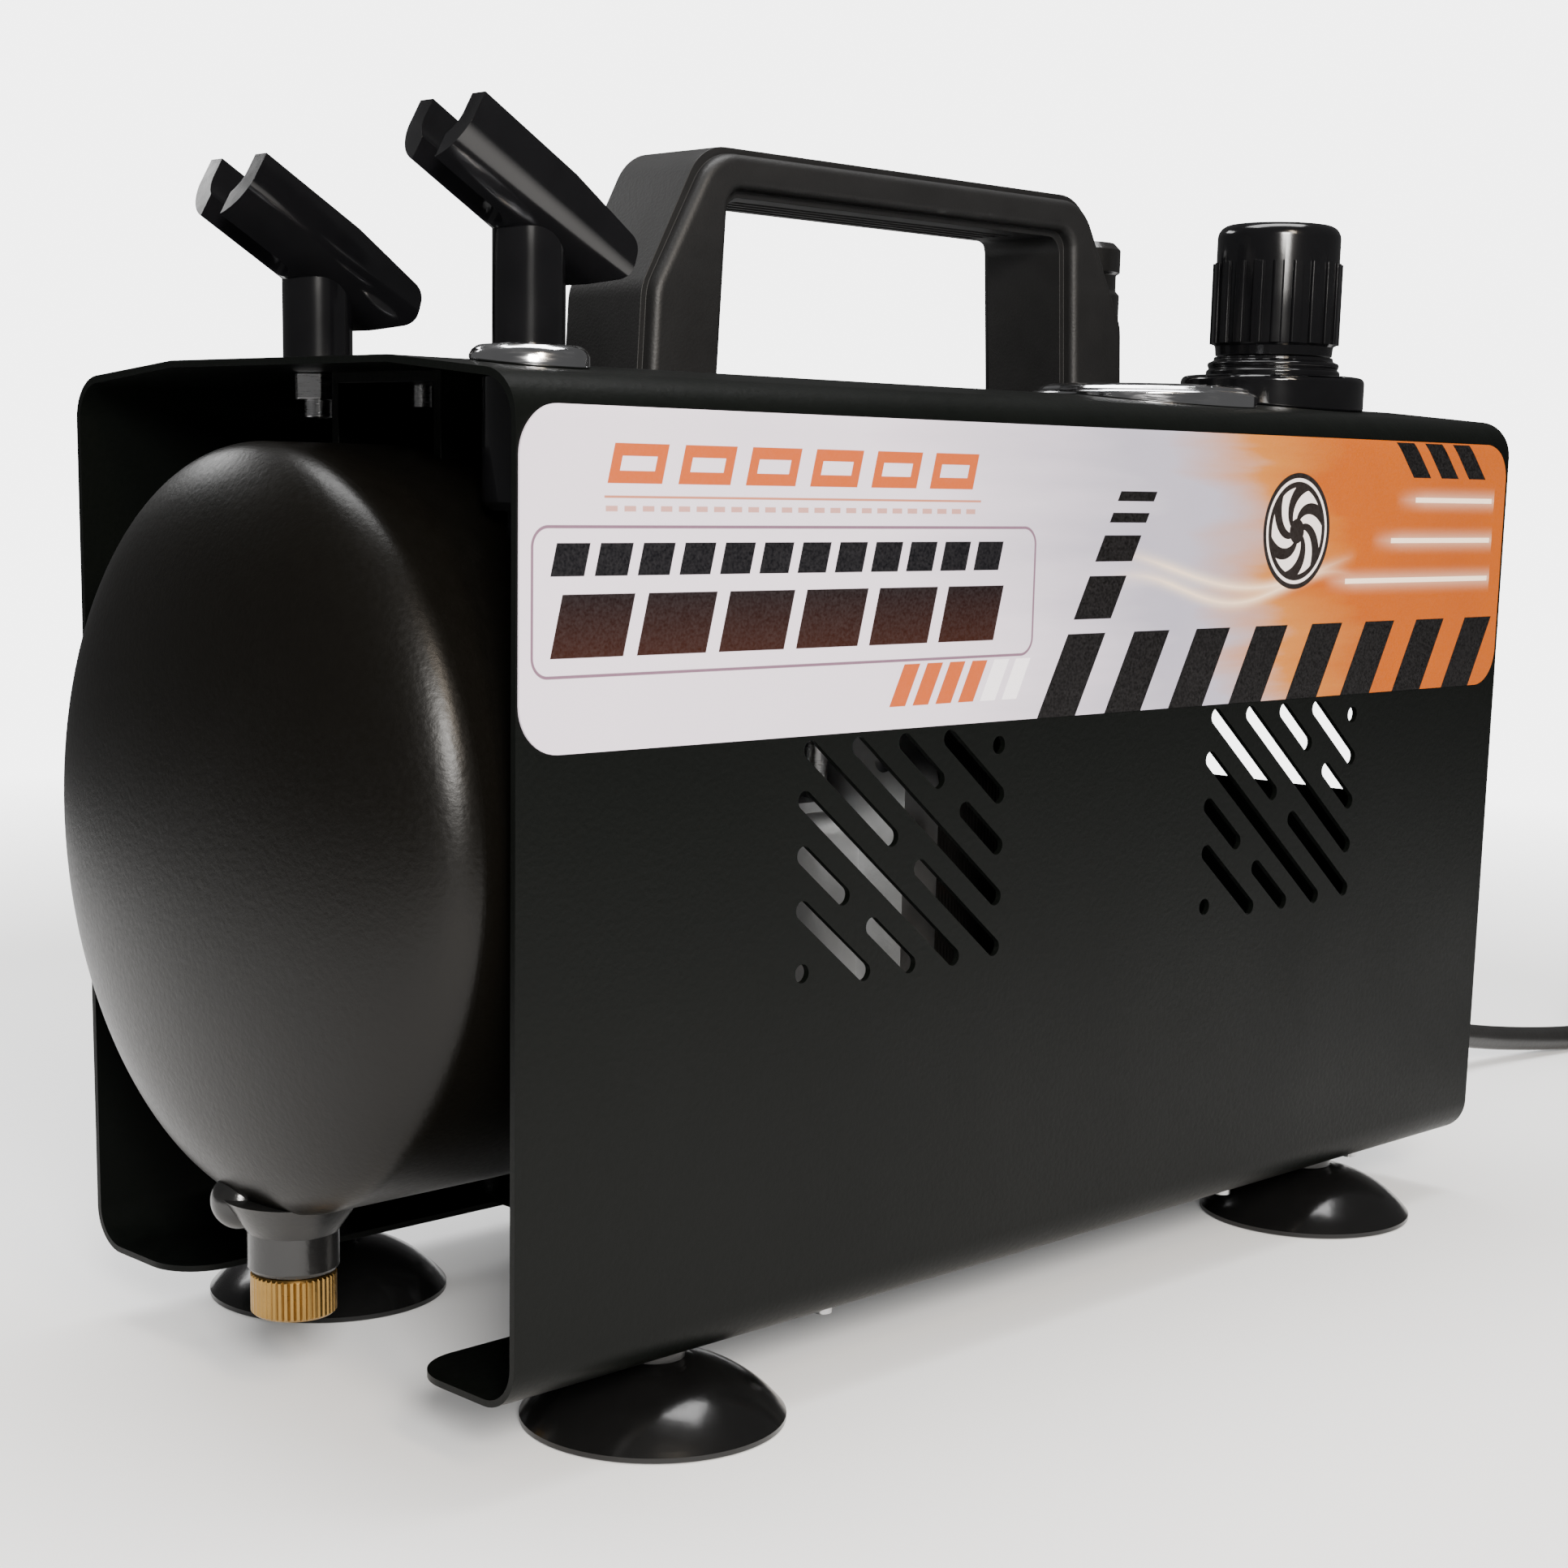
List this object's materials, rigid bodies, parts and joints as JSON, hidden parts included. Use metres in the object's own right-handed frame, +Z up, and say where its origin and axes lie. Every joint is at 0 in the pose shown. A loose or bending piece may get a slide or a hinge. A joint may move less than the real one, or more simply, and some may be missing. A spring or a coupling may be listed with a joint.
{
  "type": "airbrush compressor",
  "caption": "Small airbrush compressor: open-ended black sheet cover over an oval air tank and a piston pump, with carrying handle, airbrush holders, regulator, gauge and suction feet.",
  "frame": {"origin": "on the floor, below the middle of the machine's bounding box without the mains cord", "axes": "+X along the machine from the tank end to the cord end, -Y towards the labelled side, +Z up"},
  "size_m": [0.5567, 0.181, 0.2287],
  "materials": {
    "black_paint": "satin powder coat",
    "tank_paint": "satin paint",
    "gloss_paint": "gloss paint",
    "printed_film": "printed film, pale on the left and orange on the right",
    "brass": "machined",
    "gloss_plastic": "gloss",
    "grained_plastic": "fine grain",
    "zinc_steel": "zinc plated",
    "chrome": "polished",
    "dark_metal": "satin",
    "white_paint": "matte",
    "clear_glass": "clear",
    "cast_alloy": "die cast",
    "lamination": "varnished laminations",
    "enamelled_wire": "varnished copper wire",
    "hose": "smooth",
    "rubber": "glossy",
    "cord_rubber": "satin"
  },
  "bodies": {
    "compressor": {"cover": "black_paint", "front_label": "printed_film", "tank_front_shell": "tank_paint", "tank_rear_shell": "tank_paint", "tank_drain_boss": "gloss_paint", "tank_bracket": "black_paint", "tank_fittings": "brass", "holder_bolts": "zinc_steel", "handle": "grained_plastic", "handle_screws": "zinc_steel", "gauge_bezel": "chrome", "gauge_case": "dark_metal", "gauge_dial": "white_paint", "gauge_glass": "clear_glass", "regulator_body": "cast_alloy", "regulator_panel_nut": "gloss_plastic", "regulator_bonnet": "gloss_plastic", "regulator_spring": "zinc_steel", "outlet_body": "gloss_paint", "outlet_nut": "brass", "switch_bezel": "chrome", "switch_body": "gloss_plastic", "pressure_switch": "gloss_plastic", "motor_stator": "lamination", "motor_windings": "enamelled_wire", "motor_bearings": "zinc_steel", "motor_end_bell": "cast_alloy", "motor_bolts": "zinc_steel", "crankcase": "cast_alloy", "crankcase_cover": "cast_alloy", "cylinder_sleeve": "cast_alloy", "valve_plate": "zinc_steel", "cylinder_head": "cast_alloy", "head_bolts": "zinc_steel", "intake_filter": "grained_plastic", "air_hoses": "hose", "base_plate": "black_paint", "panel_screws": "zinc_steel", "motor_mounts": "rubber", "feet": "rubber", "foot_bolts": "zinc_steel", "cord_bracket": "black_paint", "strain_relief": "cord_rubber", "mains_cord": "cord_rubber", "mains_cord_coil": "cord_rubber", "mains_plug": "cord_rubber"},
    "shaft_group": {"motor_shaft": "zinc_steel", "motor_rotor": "lamination", "cooling_fan": "grained_plastic", "crank_disc": "zinc_steel"},
    "piston_group": {"piston": "cast_alloy", "connecting_rod": "cast_alloy"},
    "regulator_screw": {"regulator_spindle": "zinc_steel"},
    "regulator_cap": {"regulator_knob": "gloss_plastic"},
    "power_button": {"switch_button": "chrome"},
    "needle": {"gauge_needle": "black_paint"},
    "front_holder": {"holder_front": "gloss_plastic"},
    "rear_holder": {"holder_rear": "gloss_plastic"},
    "drain_valve": {"drain_knob": "brass"},
    "coupler_sleeve": {"outlet_sleeve": "gloss_paint"}
  },
  "joints": [
    {"name": "shaft_spin", "type": "hinge", "parent": "compressor", "child": "shaft_group", "pos_m": [0, 0, 0.078], "axis": [1, 0, 0], "continuous": true},
    {"name": "piston_slide", "type": "slide", "parent": "compressor", "child": "piston_group", "axis": [0, 0, 1], "range_m": [-0.012, 0]},
    {"name": "regulator_turn", "type": "hinge", "parent": "compressor", "child": "regulator_screw", "pos_m": [0.1242, -0.0213, 0.2], "axis": [0, 0, 1], "range_deg": [-720, 720]},
    {"name": "regulator_lift", "type": "slide", "parent": "regulator_screw", "child": "regulator_cap", "axis": [0, 0, 1], "range_m": [0, 0.003]},
    {"name": "button_press", "type": "slide", "parent": "compressor", "child": "power_button", "axis": [0, 0, -1], "range_m": [0, 0.002], "stiffness_N_per_m": 400},
    {"name": "needle_turn", "type": "hinge", "parent": "compressor", "child": "needle", "pos_m": [0.0647, -0.03, 0.179], "axis": [0, 0, -1], "range_deg": [0, 270], "stiffness_Nm_per_rad": 0.0001},
    {"name": "front_holder_swivel", "type": "hinge", "parent": "compressor", "child": "front_holder", "pos_m": [-0.1, -0.025, 0.19], "axis": [0, 0, 1], "range_deg": [-40, 40]},
    {"name": "rear_holder_swivel", "type": "hinge", "parent": "compressor", "child": "rear_holder", "pos_m": [-0.1086, 0.025, 0.19], "axis": [0, 0, 1], "range_deg": [-40, 40]},
    {"name": "drain_turn", "type": "hinge", "parent": "compressor", "child": "drain_valve", "pos_m": [-0.1333, 0, 0.02], "axis": [0, 0, 1], "range_deg": [0, 540]},
    {"name": "coupler_release", "type": "slide", "parent": "compressor", "child": "coupler_sleeve", "axis": [0, 0, -1], "range_m": [0, 0.003], "stiffness_N_per_m": 800}
  ]
}
